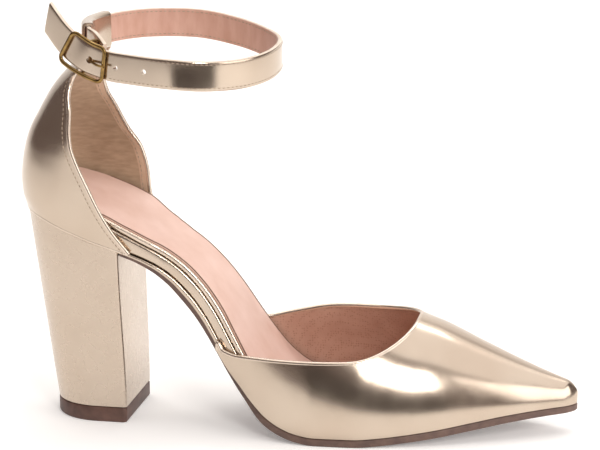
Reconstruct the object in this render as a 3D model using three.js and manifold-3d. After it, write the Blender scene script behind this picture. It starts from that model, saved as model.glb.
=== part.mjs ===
// Ankle strap pump, right shoe: a closed pointed vamp, an open waist, a heel counter that narrows
// into a tab, a block heel, and a buckled strap that runs through a sleeve on the tab.
// Millimetres. +X points to the toe, -Y to the outer side, +Z up. The origin is the centre of the
// underside of the heel's top piece, so the floor is z = 0.

import * as THREE from "three";
import { mergeVertices } from "three/addons/utils/BufferGeometryUtils.js";
import Module from "manifold-3d";

// The last: the form that the upper is pulled over
const lastLength = 230;      // back of the seat to the tip of the toe
const seatOverhang = 27;     // how far the seat's back lies behind the centre of the heel's foot
const heelRise = 86;         // how much higher the seat's back is than the ball
const toeSpring = 9.4;       // how much the toe tip is lifted
const seatWidth = 46.4;
const ballWidth = 72;
const vaultHeight = 41.6;    // height of the last over the insole, at the throat
const toeSwing = 4;          // how far the toe tip lies towards the inner side
const toeCut = 1.6;          // what rounding takes off the point of the toe
const toeNose = 4;           // length of the rounded tip
const noseShare = 0.3;       // what the vault keeps of its height at the very tip
const seatRound = 22;        // length of the rounded end of the seat

// Leather, board and sole
const clearance = 0.3;       // between pieces that touch
const upperWall = 1.8;
const soleEdge = 3.2;        // outsole at the ball
const boardThickness = 4.7;
const sockThickness = 2.8;
const seatPad = 7;            // padding under the sock's inner side at the seat
const edgeBevel = 0.5;
const boardShort = 6.4;      // how far the board ends behind the last's tip
const sockShort = 11.4;

// Vamp
const throatToTip = 63.4;    // tip of the toe to the middle of the throat
const wingToTip = 143.9;     // tip of the toe to the back end of the vamp's wings
const toplineHeight = 33;    // topline at the joint, above the floor
const throatRound = 28;      // length over which the topline turns up and over to the throat
const throatPower = 2.6;     // how square that turn is: 2 is the quarter of an ellipse
const wingTuck = 3.6;        // how far the wing's end reaches down over the sole's edge
const wingTuckLength = 13;
const flareLength = 10;      // length over which the outsole then widens to the vamp

// Heel and top piece
const liftLength = 34;
const liftWidth = 42;
const liftThickness = 6.5;
const heelBreast = 15;       // front of the heel at its top
const breastCorner = 1.5;

// Counter and strap
const tabTop = 152.9;        // height of the tab's top
const strapWidth = 12.2;
const strapThickness = 2;
const loopLength = 79.6;     // ankle loop, back to front
const loopWidth = 74;
const loopBack = -1.6;       // where the strap's middle passes the back of the ankle
const strapHeight = 162;     // middle of the strap at the back
const sleeveSpan = 46;       // degrees of the loop that the sleeve covers
const sleeveWall = 1.2;
const tailSlant = 0.45;      // how far the tail's end is cut aslant, as a share of the strap's width

// Buckle
const frameLength = 19.6;   // between the middles of the end bars
const frameWire = 0.8;       // radius
const frameCorner = 2.4;
const barWire = 0.7;
const barBend = 1;
const prongWire = 0.55;
const eyeWire = 0.3;
const holeRadius = 1.1;
const prongHoleRadius = 1.5;
const prongHoleAhead = 2.25; // prong hole, ahead of the buckle's bar
const holePitch = 12.9; 
const holeCount = 3;
const buckleTurn = 40.7;       // degrees round the loop

// How finely curved pieces are cut
const strapSteps = 96;
const rodSides = 8;

const radians = Math.PI / 180;
const lastTip = lastLength - seatOverhang - toeCut;
const skinGap = clearance + upperWall;
const clamp = (v, lo, hi) => Math.min(hi, Math.max(lo, v));
const mix = (a, b, t) => a + (b - a) * t;
const smooth = (t) => { const c = clamp(t, 0, 1); return c * c * (3 - 2 * c); };

// A smooth curve through one column of a table, without overshoot between its rows.
function follow(rows, key, column, at) {
  const n = rows.length;
  if (at <= rows[0][key]) return rows[0][column];
  if (at >= rows[n - 1][key]) return rows[n - 1][column];
  const slope = (i) => (rows[i + 1][column] - rows[i][column]) / (rows[i + 1][key] - rows[i][key]);
  const tangent = (i) => {
    if (i === 0) return slope(0);
    if (i === n - 1) return slope(n - 2);
    const before = slope(i - 1);
    const after = slope(i);
    return before * after <= 0 ? 0 : (2 * before * after) / (before + after);
  };
  let i = 0;
  while (at > rows[i + 1][key]) i += 1;
  const span = rows[i + 1][key] - rows[i][key];
  const t = (at - rows[i][key]) / span;
  return (1 + 2 * t) * (1 - t) ** 2 * rows[i][column] + t * (1 - t) ** 2 * span * tangent(i)
    + t * t * (3 - 2 * t) * rows[i + 1][column] + t * t * (t - 1) * span * tangent(i + 1);
}

// Bottom of the last, by share of its length. rise is a share of heelRise, spring of toeSpring,
// seat of half the seat's width, lateral and medial of half the ball's width, swing of toeSwing,
// sole of the outsole's edge, vault of vaultHeight.
const lastTable = [
  { along: 0, rise: 1, spring: 0, seat: 1, lateral: 0, medial: 0, swing: 0, sole: 0.65, vault: 1.4 },
  { along: 0.04, rise: 0.973, spring: 0, seat: 1, lateral: 0, medial: 0, swing: 0, sole: 0.65, vault: 1.4 },
  { along: 0.09, rise: 0.922, spring: 0, seat: 1, lateral: 0, medial: 0, swing: 0, sole: 0.65, vault: 1.4 },
  { along: 0.13, rise: 0.88, spring: 0, seat: 1, lateral: 0, medial: 0, swing: 0, sole: 0.65, vault: 1.4 },
  { along: 0.17, rise: 0.845, spring: 0, seat: 0.99, lateral: 0, medial: 0, swing: 0, sole: 0.65, vault: 1.4 },
  { along: 0.21, rise: 0.81, spring: 0, seat: 0.97, lateral: 0, medial: 0, swing: 0, sole: 0.7, vault: 1.4 },
  { along: 0.25, rise: 0.763, spring: 0, seat: 0.94, lateral: 0, medial: 0, swing: 0, sole: 0.95, vault: 1.4 },
  { along: 0.28, rise: 0.709, spring: 0, seat: 0.92, lateral: 0, medial: 0, swing: 0, sole: 1.15, vault: 1.4 },
  { along: 0.31, rise: 0.631, spring: 0, seat: 0.92, lateral: 0, medial: 0, swing: 0, sole: 1.3, vault: 1.4 },
  { along: 0.34, rise: 0.528, spring: 0, seat: 0.75, lateral: 0.13, medial: 0.13, swing: 0, sole: 1.25, vault: 1.4 },
  { along: 0.37, rise: 0.395, spring: 0, seat: 0.5, lateral: 0.34, medial: 0.33, swing: 0, sole: 1.1, vault: 1.4 },
  { along: 0.4, rise: 0.265, spring: 0, seat: 0.25, lateral: 0.57, medial: 0.56, swing: 0, sole: 1.03, vault: 1.6 },
  { along: 0.43, rise: 0.158, spring: 0, seat: 0.1, lateral: 0.74, medial: 0.735, swing: 0, sole: 1, vault: 1.73 },
  { along: 0.46, rise: 0.082, spring: 0, seat: 0, lateral: 0.87, medial: 0.87, swing: 0, sole: 1, vault: 1.8 },
  { along: 0.49, rise: 0.035, spring: 0, seat: 0, lateral: 0.922, medial: 0.933, swing: 0, sole: 1, vault: 1.78 },
  { along: 0.52, rise: 0.01, spring: 0, seat: 0, lateral: 0.956, medial: 0.98, swing: 0, sole: 1, vault: 1.72 },
  { along: 0.55, rise: 0, spring: 0, seat: 0, lateral: 0.97, medial: 1.01, swing: 0, sole: 1, vault: 1.63 },
  { along: 0.62, rise: 0, spring: 0, seat: 0, lateral: 0.947, medial: 1.02, swing: 0, sole: 1, vault: 1.35 },
  { along: 0.66, rise: 0, spring: 0.06, seat: 0, lateral: 0.897, medial: 0.975, swing: 0.01, sole: 1, vault: 1.18 },
  { along: 0.71, rise: 0, spring: 0.19, seat: 0, lateral: 0.815, medial: 0.886, swing: 0.04, sole: 1, vault: 1 },
  { along: 0.76, rise: 0, spring: 0.35, seat: 0, lateral: 0.717, medial: 0.77, swing: 0.12, sole: 1, vault: 0.86 },
  { along: 0.82, rise: 0, spring: 0.585, seat: 0, lateral: 0.572, medial: 0.603, swing: 0.28, sole: 1, vault: 0.65 },
  { along: 0.88, rise: 0, spring: 0.8, seat: 0, lateral: 0.417, medial: 0.431, swing: 0.5, sole: 0.97, vault: 0.447 },
  { along: 0.94, rise: 0, spring: 0.93, seat: 0, lateral: 0.244, medial: 0.25, swing: 0.76, sole: 0.93, vault: 0.274 },
  { along: 1, rise: 0, spring: 1, seat: 0, lateral: 0.061, medial: 0.061, swing: 1, sole: 0.9, vault: 0.132 },
];

// Vamp topline, by share of the last's length, as shares of toplineHeight.
const toplineTable = [
  { along: 0.36, lateral: 1.14, medial: 1.13 },
  { along: 0.38, lateral: 1.04, medial: 1.06 },
  { along: 0.41, lateral: 1.0, medial: 1.06 },
  { along: 0.46, lateral: 1.0, medial: 1.12 },
  { along: 0.54, lateral: 1.0, medial: 1.22 },
  { along: 0.62, lateral: 1.0, medial: 1.25 },
  { along: 0.7, lateral: 1.0, medial: 1.25 },
];

// Heel cup, by share of the height from the seat to the tab's top. back is how far the back lies
// behind the heel's centre, lateral and medial where each front edge lies ahead of it, all as
// shares of the seat's overhang. width is a share of the seat's width, round of seatRound.
const cupTable = [
  { up: 0, back: 1, lateral: 0.72, medial: 0.82, width: 1, round: 1 },
  { up: 0.09, back: 1.06, lateral: 0.47, medial: 0.7, width: 1.052, round: 1 },
  { up: 0.19, back: 1.075, lateral: 0.275, medial: 0.61, width: 1.078, round: 1 },
  { up: 0.3, back: 1.053, lateral: 0.11, medial: 0.575, width: 1.086, round: 1 },
  { up: 0.42, back: 0.997, lateral: -0.06, medial: 0.475, width: 1.082, round: 1 },
  { up: 0.52, back: 0.92, lateral: -0.155, medial: 0.255, width: 1.073, round: 1 },
  { up: 0.63, back: 0.79, lateral: -0.18, medial: 0.08, width: 1.056, round: 0.98 },
  { up: 0.72, back: 0.675, lateral: -0.175, medial: -0.06, width: 1.047, round: 0.95 },
  { up: 0.8, back: 0.56, lateral: -0.2, medial: -0.1, width: 1.052, round: 0.93 },
  { up: 0.9, back: 0.367, lateral: -0.17, medial: -0.08, width: 1.065, round: 0.91 },
  { up: 1, back: 0.093, lateral: 0.06, medial: 0.06, width: 1.078, round: 0.91 },
];

// How far the padding lifts each side of the board and the sock, as a share of seatPad.
const padTable = [
  { along: 0, lateral: 0.62, medial: 0.9 },
  { along: 0.06, lateral: 0.66, medial: 0.96 },
  { along: 0.13, lateral: 0.6, medial: 1 },
  { along: 0.18, lateral: 0.3, medial: 0.82 },
  { along: 0.22, lateral: 0.08, medial: 0.28 },
  { along: 0.26, lateral: 0, medial: 0 },
];

// Route of the strap, from the end of its tail to the end that carries the buckle. turn is in
// degrees from the back, round by the outer side. reach is a share of the loop's half sizes, rise
// what the strap's middle lies above its height at the back, as a share of the strap's width.
const strapTable = [
  { turn: 18.5, reach: 1.43, rise: 0.86 },
  { turn: 31, reach: 1.25, rise: -0.03 },
  { turn: 41, reach: 1.115, rise: -0.45 },
  { turn: 55, reach: 1.03, rise: -0.65 },
  { turn: 70, reach: 1.0, rise: -0.69 },
  { turn: 90, reach: 1.0, rise: -0.75 },
  { turn: 112, reach: 1.0, rise: -0.84 },
  { turn: 137, reach: 1.0, rise: -0.85 },
  { turn: 160, reach: 1.0, rise: -0.76 },
  { turn: 180, reach: 1.0, rise: -0.64 },
  { turn: 202, reach: 1.0, rise: -0.58 },
  { turn: 223, reach: 1.0, rise: -0.5 },
  { turn: 246, reach: 1.0, rise: -0.32 },
  { turn: 272, reach: 1.0, rise: -0.12 },
  { turn: 303, reach: 1.0, rise: -0.06 },
  { turn: 330, reach: 1.0, rise: -0.08 },
  { turn: 360, reach: 1.0, rise: -0.1 },
  { turn: 386, reach: 1.0, rise: -0.1 },
  { turn: 394, reach: 0.985, rise: -0.16 },
  { turn: 402, reach: 0.97, rise: -0.42 },
];

const share = (x) => (x + seatOverhang) / lastLength;
const read = (column, x) => follow(lastTable, "along", column, share(x));

// Underside of the last at a place along the shoe, its slope and its unit normal.
const lastLine = (x) => soleEdge + read("rise", x) * heelRise + read("spring", x) * toeSpring;
const lastSlope = (x) => (lastLine(x + 0.05) - lastLine(x - 0.05)) / 0.1;
function lastNormal(x) {
  const slope = lastSlope(x);
  const size = Math.hypot(1, slope);
  return { x: -slope / size, z: 1 / size };
}

const axisLine = (x) => read("swing", x) * toeSwing;
const roundEnd = (distance, radius) => Math.sqrt(1 - (1 - clamp(distance / radius, 0, 1)) ** 2);

// Half width of the insole's outline on one side (-1 outer, 1 inner), measured from its axis.
function outlineHalf(side, x) {
  const column = side < 0 ? "lateral" : "medial";
  const body = read("seat", x) * seatWidth / 2 + read(column, x) * ballWidth / 2;
  return body * roundEnd(x + seatOverhang, seatRound) * roundEnd(lastTip - x, toeNose);
}

// The outline pushed outwards by an offset, square to itself in the plan.
function outlinePoint(side, x, offset) {
  const half = outlineHalf(side, x);
  if (lastTip - x < 1e-6) return [x + offset, axisLine(x)];
  const step = Math.min(0.05, (lastTip - x) / 2);
  const run = [2 * step, axisLine(x + step) - axisLine(x - step)
    + side * (outlineHalf(side, x + step) - outlineHalf(side, x - step))];
  const size = Math.hypot(run[0], run[1]);
  return [x - side * run[1] / size * offset, axisLine(x) + side * half + side * run[0] / size * offset];
}

// Cross-section of the last, from the edge (angle 0) to the ridge (90 degrees): a soft gothic arch
// that bulges a little above the edge.
const archWidth = 2.1;
const archHeight = 1.7;
const archBulge = 0.05;
const archOut = (angle) => Math.max(Math.cos(angle), 0) ** (2 / archWidth)
  + archBulge * Math.sin(2 * angle) * Math.cos(angle) ** 2;
const archUp = (angle) => Math.sin(angle) ** (2 / archHeight);
const archAngle = (up) => Math.asin(clamp(up, 0, 1) ** (archHeight / 2));
const vaultAt = (x) => read("vault", x) * vaultHeight * mix(noseShare, 1, roundEnd(lastTip - x, toeNose));

// Half width of the last where a side view has the point (x, z).
function lastHalf(side, x, z) {
  const up = clamp((z - lastLine(x)) / vaultAt(x), 0, 1);
  return outlineHalf(side, x) * archOut(archAngle(up));
}

// Meshes
function solid(points, faces) {
  const keys = new Map();
  const index = points.map((p) => {
    const key = p.map((v) => Math.round(v * 5000)).join();
    if (!keys.has(key)) keys.set(key, { at: keys.size, p });
    return keys.get(key).at;
  });
  const kept = [];
  for (const face of faces) {
    const [a, b, c] = face.map((i) => index[i]);
    if (a !== b && b !== c && a !== c) kept.push([a, b, c]);
  }
  const places = [...keys.values()].map((k) => k.p);
  let volume = 0;
  for (const [a, b, c] of kept) {
    const [p, q, r] = [places[a], places[b], places[c]];
    volume += p[0] * (q[1] * r[2] - q[2] * r[1]) - p[1] * (q[0] * r[2] - q[2] * r[0])
      + p[2] * (q[0] * r[1] - q[1] * r[0]);
  }
  const geometry = new THREE.BufferGeometry();
  geometry.setAttribute("position", new THREE.Float32BufferAttribute(places.flat(), 3));
  geometry.setIndex(kept.flatMap(([a, b, c]) => (volume > 0 ? [a, b, c] : [a, c, b])));
  return geometry;
}

function quad(faces, a, b, c, d) {
  faces.push([a, b, c], [a, c, d]);
}

// A solid through rings of equal count. Each end is closed across, so a ring's first half runs
// along one side and its second half comes back along the other.
function loft(rings) {
  const size = rings[0].length;
  const faces = [];
  for (let i = 0; i + 1 < rings.length; i += 1) {
    for (let j = 0; j < size; j += 1) {
      const k = (j + 1) % size;
      quad(faces, i * size + j, i * size + k, (i + 1) * size + k, (i + 1) * size + j);
    }
  }
  for (const [first, order] of [[0, 1], [(rings.length - 1) * size, -1]]) {
    for (let j = 0; j + 1 < size / 2; j += 1) {
      const corners = [first + j, first + size - 1 - j, first + size - 2 - j, first + j + 1];
      quad(faces, ...(order > 0 ? corners : corners.reverse()));
    }
  }
  return solid(rings.flat(), faces);
}

// A sheet with a wall: two grids of points, one for each skin, joined round their border. An edge
// where the sheet runs on into another sheet, or back into itself, is left unjoined.
function shell(outer, inner, { foot = true, top = () => true, end = true } = {}) {
  const rows = outer.length;
  const columns = outer[0].length;
  const faces = [];
  const out = (i, j) => i * columns + j;
  const inn = (i, j) => rows * columns + i * columns + j;
  const last = columns - 1;
  for (let i = 0; i + 1 < rows; i += 1) {
    for (let j = 0; j < last; j += 1) {
      quad(faces, out(i, j), out(i, j + 1), out(i + 1, j + 1), out(i + 1, j));
      quad(faces, inn(i, j), inn(i + 1, j), inn(i + 1, j + 1), inn(i, j + 1));
    }
    if (foot) quad(faces, out(i, 0), out(i + 1, 0), inn(i + 1, 0), inn(i, 0));
    if (top(i)) quad(faces, out(i, last), inn(i, last), inn(i + 1, last), out(i + 1, last));
  }
  for (let j = 0; j < last; j += 1) {
    quad(faces, out(0, j), inn(0, j), inn(0, j + 1), out(0, j + 1));
    if (end) quad(faces, out(rows - 1, j), out(rows - 1, j + 1), inn(rows - 1, j + 1), inn(rows - 1, j));
  }
  return { points: [...outer.flat(), ...inner.flat()], faces };
}

const steps = (count) => Array.from({ length: count + 1 }, (_, i) => i / count);

// Stations along the sole, close together where the seat and the toe are round.
function stations(from, to) {
  const seatEnd = seatRound - seatOverhang;
  const back = from < seatEnd ? steps(10).map((t) => mix(-seatOverhang, seatEnd, t * t)) : [];
  const start = from < seatEnd ? seatEnd : from;
  const count = Math.round((to - start) / 5);
  const front = steps(count).map((t) => mix(start, to, t));
  return [...back, ...front.slice(back.length ? 1 : 0)];
}

// Outsole: a thin sole from the heel's front to the toe, as wide as the insole at the waist and
// as the vamp further forward.
function outsole() {
  const wideFrom = lastTip - wingToTip + wingTuckLength;
  const flare = (x) => skinGap * smooth((x - wideFrom) / flareLength);
  const from = heelBreast + 3 * clearance;
  const nose = steps(9).slice(1).map((t) => mix(lastTip - 12, lastTip, 1 - (1 - t) ** 2));
  const rings = [...stations(from, lastTip - 12), ...nose].map((x) => {
    const n = lastNormal(x);
    const t = read("sole", x) * soleEdge;
    const corner = (side, offset, depth) => {
      const p = outlinePoint(side, x - depth * n.x, offset);
      return [p[0], p[1], lastLine(x) - depth * n.z];
    };
    const edge = flare(x);
    return [corner(-1, edge, 0), corner(-1, edge, t - edgeBevel), corner(-1, edge - edgeBevel, t),
      corner(1, edge - edgeBevel, t), corner(1, edge, t - edgeBevel), corner(1, edge, 0)];
  });
  return loft(rings);
}

// A layer on the last's underside, between two heights over it, whose edge lies on the last. The
// padding lifts what is above the board.
const boardHigh = clearance + boardThickness;
const sockLow = boardHigh + clearance;

function layer(low, high, to) {
  const spread = (height, x) => {
    const up = clamp(height / (tabTop - lastLine(x)), 0, 1);
    const fade = 1 - smooth((x + seatOverhang) / (2 * seatOverhang));
    return {
      back: (follow(cupTable, "up", "back", up) - 1) * seatOverhang * fade,
      width: 1 + (follow(cupTable, "up", "width", up) - 1) * fade,
    };
  };
  const rings = stations(-seatOverhang, to).map((x) => {
    const n = lastNormal(x);
    const corner = (side, level, inset) => {
      const pad = seatPad * follow(padTable, "along", side < 0 ? "lateral" : "medial", share(x));
      const height = level + pad * Math.min(level / boardHigh, 1);
      const grow = spread(height, x);
      const shift = height * n.x * smooth((x + seatOverhang) / seatOverhang);
      const place = [x + shift - grow.back, lastLine(x) + height * n.z];
      const half = x > seatOverhang ? lastHalf(side, place[0], place[1]) : outlineHalf(side, x) * grow.width;
      const ease = clearance * roundEnd(x + seatOverhang, seatRound) * (1 - smooth(x / seatOverhang - 1));
      const inside = Math.max(half - inset - ease, 0);
      return [place[0], axisLine(place[0]) + side * inside, place[1]];
    };
    return [corner(-1, low, 0), corner(-1, high - edgeBevel, 0), corner(-1, high, edgeBevel),
      corner(1, high, edgeBevel), corner(1, high - edgeBevel, 0), corner(1, low, 0)];
  });
  return loft(rings);
}

// Vamp: the forepart's shell. Each half runs from the sole's edge up to the topline, and ahead of
// the throat up to the ridge, where the halves are one.
const throat = lastTip - throatToTip;
const wingEnd = lastTip - wingToTip;
const wallGap = (x) => clearance * Math.hypot(1, lastSlope(x));

// Angle of the cross-section at which the topline lies.
function toplineAngle(side, x) {
  const level = follow(toplineTable, "along", side < 0 ? "lateral" : "medial", share(x)) * toplineHeight;
  const t = clamp((x - throat + throatRound) / throatRound, 0, 1);
  return mix(archAngle((level - lastLine(x)) / vaultAt(x)), Math.PI / 2, 1 - (1 - t ** throatPower) ** (1 / throatPower));
}

function vampPoint(side, x, across, offset) {
  const angle = across * (x < throat ? toplineAngle(side, x) : Math.PI / 2);
  const foot = outlinePoint(side, x, offset);
  const ahead = (outlinePoint(-1, x, 1)[0] + outlinePoint(1, x, 1)[0]) / 2 - x;
  const ridge = [x + offset * ahead, axisLine(x)];
  const out = archOut(angle);
  const tuck = wingTuck * (1 - smooth((x - wingEnd) / wingTuckLength));
  const up = mix(across, archUp(angle), roundEnd(lastTip - x, toeNose));
  const z = lastLine(x) + wallGap(x) + (vaultAt(x) + offset) * up - tuck * (1 - across);
  return [mix(ridge[0], foot[0], out), mix(ridge[1], foot[1], out), z];
}

function vamp() {
  const openRows = 18;
  const closedRows = 15;
  const open = steps(openRows).map((t) => mix(wingEnd, throat, (1 - Math.cos(Math.PI * t)) / 2));
  const closed = steps(closedRows).slice(1).map((t) => mix(throat, lastTip, Math.sin(Math.PI / 2 * t)));
  const rows = [...open, ...closed];
  const halves = [-1, 1].map((side) => {
    const skin = (offset) => rows.map((x) => steps(9).map((t) => vampPoint(side, x, t, offset)));
    return shell(skin(skinGap), skin(clearance), { top: (i) => i < openRows, end: false });
  });
  const [left, right] = halves;
  const mirrored = right.faces.map(([a, b, c]) => [a, c, b].map((i) => i + left.points.length));
  return solid([...left.points, ...right.points], [...left.faces, ...mirrored]);
}

// Counter: the heel cup's shell, from one front edge round the back to the other, narrowing
// upwards into the tab.
function cupPoint(around, up, offset) {
  const side = around < 0 ? -1 : 1;
  const cup = (column) => follow(cupTable, "up", column, up);
  const back = -cup("back") * seatOverhang;
  const front = cup(side < 0 ? "lateral" : "medial") * seatOverhang;
  const x = mix(back - offset, front, around * around);
  const seat = read("seat", x) * seatWidth / 2;
  const half = (seat * cup("width") + offset) * roundEnd(x - back + offset, cup("round") * seatRound + offset);
  const low = lastLine(x) + wallGap(x);
  return [x, side * half, mix(low, tabTop, up)];
}

function counter() {
  const skin = (offset) => steps(16).map((up) => steps(28).map((t) => cupPoint(2 * t - 1, up, offset)));
  const { points, faces } = shell(skin(skinGap), skin(clearance));
  return solid(points, faces);
}

// Heel: a block with a flat front and a round back, from the top piece up to the seat.
function heelRing(back, front, half, height) {
  const round = half;
  const ring = [];
  for (const t of steps(14)) {
    const x = mix(back, front - breastCorner, t * t * (2 - t));
    ring.push([x, half * roundEnd(x - back, round), height(x)]);
  }
  for (const t of steps(3).slice(1)) {
    const x = front - breastCorner + breastCorner * Math.sin(t * Math.PI / 2);
    ring.push([x, half - breastCorner * (1 - Math.cos(t * Math.PI / 2)), height(x)]);
  }
  const outer = ring.map(([x, y, z]) => [x, -y, z]);
  return [...outer, ...ring.reverse()];
}

function heel() {
  const foot = liftThickness + clearance;
  const rings = steps(8).map((t) => {
    const back = mix(-liftLength / 2, -seatOverhang - skinGap, t);
    const front = mix(liftLength / 2, heelBreast, smooth(t));
    const half = mix(liftWidth / 2, seatWidth / 2 + skinGap, t ** 1.3);
    return heelRing(back, front, half, (x) => mix(foot, lastLine(x) - wallGap(x), t));
  });
  return loft(rings);
}

function heelLift() {
  const ring = (z) => heelRing(-liftLength / 2, liftLength / 2, liftWidth / 2, () => z);
  return loft([ring(0), ring(liftThickness)]);
}

// Strap: its middle line as a smooth curve, with the strap's width standing in the upright plane
// through that line.
const loopCentre = loopBack + loopLength / 2;
const strapCurve = new THREE.CatmullRomCurve3(strapTable.map(({ turn, reach, rise }) => new THREE.Vector3(
  loopCentre - loopLength / 2 * reach * Math.cos(turn * radians),
  -loopWidth / 2 * reach * Math.sin(turn * radians),
  strapHeight + rise * strapWidth,
)), false, "centripetal");
const strapLength = strapCurve.getLength();

function strapFrame(distance) {
  const u = clamp(distance / strapLength, 0, 1);
  const at = strapCurve.getPointAt(u);
  const along = strapCurve.getTangentAt(u);
  const out = new THREE.Vector3(along.y, -along.x, 0).normalize();
  const up = new THREE.Vector3().crossVectors(along, out).normalize();
  if (up.z < 0) up.negate();
  return { at, along, out, up };
}

// A point beside the strap: a distance along it, then across its width and out from its middle.
function besideStrap(distance, across, out) {
  const frame = strapFrame(distance);
  return frame.at.clone().addScaledVector(frame.up, across).addScaledVector(frame.out, out).toArray();
}

// Where along the strap a turn round the loop is reached.
function strapAtTurn(turn) {
  let low = 0;
  let high = strapLength;
  const turnAt = (distance) => {
    const p = strapCurve.getPointAt(distance / strapLength);
    const angle = Math.atan2(-p.y / loopWidth, -(p.x - loopCentre) / loopLength) / radians;
    const passed = distance < strapLength / 2 ? (angle + 360) % 360 : angle < 90 ? angle + 360 : angle;
    return passed < 0 ? passed + 360 : passed;
  };
  for (let i = 0; i < 40; i += 1) {
    const middle = (low + high) / 2;
    if (turnAt(middle) < turn) low = middle;
    else high = middle;
  }
  return (low + high) / 2;
}

function strapRing(distance, half, thick) {
  return [besideStrap(distance, -half, -thick), besideStrap(distance, half, -thick),
    besideStrap(distance, half, thick), besideStrap(distance, -half, thick)];
}

const wasm = await Module();
wasm.setup();

function toManifold(geometry) {
  const bare = geometry.clone();
  bare.deleteAttribute("normal");
  bare.deleteAttribute("uv");
  const merged = mergeVertices(bare, 1e-4);
  const mesh = new wasm.Mesh({
    numProp: 3,
    vertProperties: new Float32Array(merged.attributes.position.array),
    triVerts: new Uint32Array(merged.index.array),
  });
  return new wasm.Manifold(mesh);
}

function fromManifold(body) {
  const mesh = body.getMesh();
  const geometry = new THREE.BufferGeometry();
  geometry.setAttribute("position", new THREE.BufferAttribute(new Float32Array(mesh.vertProperties), 3));
  geometry.setIndex(new THREE.BufferAttribute(new Uint32Array(mesh.triVerts), 1));
  return geometry;
}

// A round rod along a path, closed at its ends or running back into itself. The vector across
// the path sets how its section is turned.
function rod(path, radius, across, loop = false) {
  const places = path.map((p) => new THREE.Vector3(...p));
  const count = places.length;
  const rings = places.map((p, i) => {
    const before = places[loop ? (i + count - 1) % count : Math.max(i - 1, 0)];
    const after = places[loop ? (i + 1) % count : Math.min(i + 1, count - 1)];
    const along = after.clone().sub(before).normalize();
    const side = new THREE.Vector3().crossVectors(along, across).normalize();
    const up = new THREE.Vector3().crossVectors(side, along);
    return steps(rodSides).slice(1).map((t) => p.clone()
      .addScaledVector(side, radius * Math.cos(2 * Math.PI * t))
      .addScaledVector(up, radius * Math.sin(2 * Math.PI * t)).toArray());
  });
  if (!loop) return loft(rings);
  const faces = [];
  for (let i = 0; i < count; i += 1) {
    const [a, b] = [i * rodSides, ((i + 1) % count) * rodSides];
    for (let j = 0; j < rodSides; j += 1) {
      const k = (j + 1) % rodSides;
      quad(faces, a + j, a + k, b + k, b + j);
    }
  }
  return solid(rings.flat(), faces);
}

function drill(distance, radius) {
  const frame = strapFrame(distance);
  const tool = new THREE.CylinderGeometry(radius, radius, 3 * strapThickness, 16);
  const turn = new THREE.Quaternion().setFromUnitVectors(new THREE.Vector3(0, 1, 0), frame.out);
  tool.applyQuaternion(turn);
  tool.translate(...frame.at.toArray());
  return toManifold(tool);
}

const buckleAt = strapAtTurn(buckleTurn);
const buckle = strapFrame(buckleAt);

// The strip, with its tail's end cut aslant and its holes punched.
function ankleStrap() {
  const half = strapWidth / 2;
  const rings = steps(strapSteps).map((t) => strapRing(t * strapLength, half, strapThickness / 2));
  const slant = strapFrame(0).along.clone().multiplyScalar(tailSlant * strapWidth).toArray();
  for (const lower of [0, 3]) rings[0][lower] = rings[0][lower].map((v, k) => v + slant[k]);
  let body = toManifold(loft(rings));
  for (let i = 0; i < holeCount; i += 1) {
    body = body.subtract(drill(buckleAt + prongHoleAhead + i * holePitch, i === 0 ? prongHoleRadius : holeRadius));
  }
  return fromManifold(body);
}

// Sleeve: the tab's leather folded round the strap at the back.
function strapSleeve() {
  const from = strapAtTurn(360 - sleeveSpan / 2);
  const to = strapAtTurn(360 + sleeveSpan / 2);
  const bore = clearance;
  const rings = (grow) => steps(12).map((t) => strapRing(mix(from, to, t), strapWidth / 2 + grow,
    strapThickness / 2 + grow));
  const [outer, inner] = [rings(bore + sleeveWall), rings(bore)];
  const closed = (ring) => [...ring, ring[0]];
  const { points, faces } = shell(outer.map(closed), inner.map(closed), { foot: false, top: () => false });
  return solid(points, faces);
}

// Buckle frame: a rounded rectangle of wire that lies over the strap. The bar in its middle drops
// from the rails beside the strap and runs under it.
const eyeReach = barWire + clearance + 2 * eyeWire;
const endBarOut = strapThickness / 2 + clearance + frameWire;
const barIn = strapThickness / 2 + 2 * clearance + eyeReach;
const frameHalfHeight = strapWidth / 2 + clearance + frameWire;

function buckleFrame() {
  const [a, b] = [frameLength / 2, frameHalfHeight];
  const path = [];
  for (const [sx, sy, start] of [[1, 1, 0], [-1, 1, 90], [-1, -1, 180], [1, -1, 270]]) {
    for (const t of steps(4)) {
      const angle = (start + 90 * t) * radians;
      path.push([sx * (a - frameCorner) + frameCorner * Math.cos(angle),
        sy * (b - frameCorner) + frameCorner * Math.sin(angle)]);
    }
    if (sx === sy) {
      for (const t of steps(8).slice(1, -1)) path.push([sx * (a - frameCorner) * (1 - 2 * t), sy * b]);
    }
  }
  const ring = rod(path.map(([x, y]) => besideStrap(buckleAt + x, y, endBarOut)), frameWire, buckle.out, true);
  const barPath = [[-b, endBarOut], [-b, barBend - barIn], [barBend - b, -barIn], [b - barBend, -barIn],
    [b, barBend - barIn], [b, endBarOut]];
  const bar = rod(barPath.map(([y, out]) => besideStrap(buckleAt, y, out)), barWire, buckle.along);
  return fromManifold(toManifold(ring).add(toManifold(bar)));
}

// Side view of the prong's shank, from its eye through the strap's hole to the front end bar, on
// which it rests. ahead is a share of half the frame's length, out of the height of its rest.
const prongTable = [
  { ahead: 0.09, out: -0.64 },
  { ahead: 0.15, out: -0.32 },
  { ahead: 0.26, out: 0.32 },
  { ahead: 0.4, out: 0.61 },
  { ahead: 0.8, out: 0.975 },
  { ahead: 1, out: 1 },
  { ahead: 1.14, out: 0.975 },
];

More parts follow.
